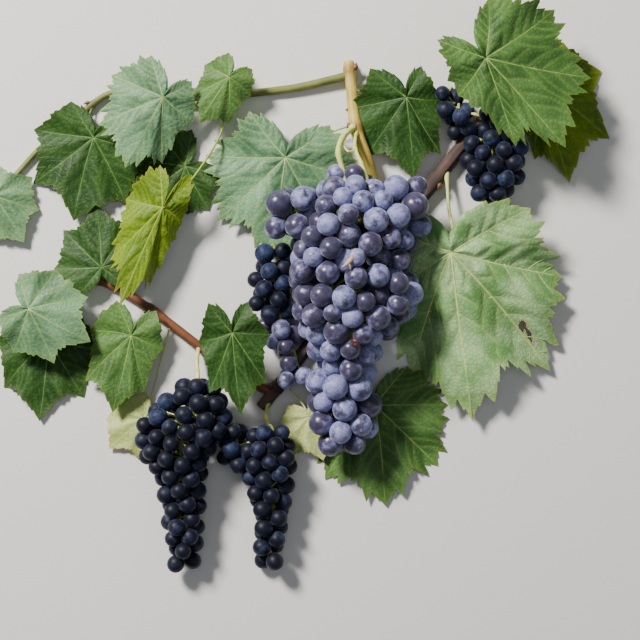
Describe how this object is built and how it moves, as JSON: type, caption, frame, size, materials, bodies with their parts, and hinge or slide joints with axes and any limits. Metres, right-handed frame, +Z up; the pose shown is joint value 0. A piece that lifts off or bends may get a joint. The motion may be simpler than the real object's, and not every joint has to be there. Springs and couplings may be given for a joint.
{
  "type": "cut grapevine branch with fruit",
  "caption": "Cut branch of a grapevine lying flat: canes with toothed lobed leaves, a large bunch of blue-black grapes in the middle and smaller bunches beside it.",
  "frame": {"origin": "on the surface that the branch lies on, under the middle of its bounding box", "axes": "+Z up from the surface, +X across the branch to the side of its cut end, +Y towards the tip of the fruiting shoot"},
  "size_m": [0.4702, 0.4079, 0.0768],
  "materials": {
    "old_cane": "rough bark",
    "fruiting_shoot": "smooth green bark",
    "left_cane": "rough bark",
    "hanging_shoot": "smooth green bark",
    "main_bunch": "waxy berry skin with a pale bloom",
    "shaded_wing": "waxy berry skin with a pale bloom",
    "upper_bunch": "waxy berry skin with a pale bloom",
    "low_left_bunch": "waxy berry skin with a pale bloom",
    "low_right_bunch": "waxy berry skin with a pale bloom",
    "left_leaf": "matte leaf",
    "right_leaf": "matte leaf",
    "upper_right_leaf": "matte leaf",
    "edge_leaf": "matte leaf",
    "behind_leaf": "matte leaf",
    "top_leaf": "matte leaf",
    "upper_left_leaf": "matte leaf",
    "yellow_leaf": "matte leaf",
    "shade_leaf": "matte leaf",
    "far_leaf": "matte leaf",
    "left_edge_leaf": "matte leaf",
    "middle_left_leaf": "matte leaf",
    "cane_leaf": "matte leaf",
    "fold_leaf": "matte leaf",
    "low_edge_leaf": "matte leaf",
    "middle_leaf": "matte leaf",
    "under_leaf": "matte leaf",
    "pale_leaf_left": "matte leaf",
    "pale_leaf_middle": "matte leaf"
  },
  "bodies": {
    "root": {"old_cane": "old_cane", "fruiting_shoot": "fruiting_shoot", "left_cane": "left_cane", "hanging_shoot": "hanging_shoot", "main_bunch": "main_bunch", "shaded_wing": "shaded_wing", "upper_bunch": "upper_bunch", "low_left_bunch": "low_left_bunch", "low_right_bunch": "low_right_bunch", "left_leaf": "left_leaf", "right_leaf": "right_leaf", "upper_right_leaf": "upper_right_leaf", "edge_leaf": "edge_leaf", "behind_leaf": "behind_leaf", "top_leaf": "top_leaf", "upper_left_leaf": "upper_left_leaf", "yellow_leaf": "yellow_leaf", "shade_leaf": "shade_leaf", "far_leaf": "far_leaf", "left_edge_leaf": "left_edge_leaf", "middle_left_leaf": "middle_left_leaf", "cane_leaf": "cane_leaf", "fold_leaf": "fold_leaf", "low_edge_leaf": "low_edge_leaf", "middle_leaf": "middle_leaf", "under_leaf": "under_leaf", "pale_leaf_left": "pale_leaf_left", "pale_leaf_middle": "pale_leaf_middle"}
  },
  "joints": []
}
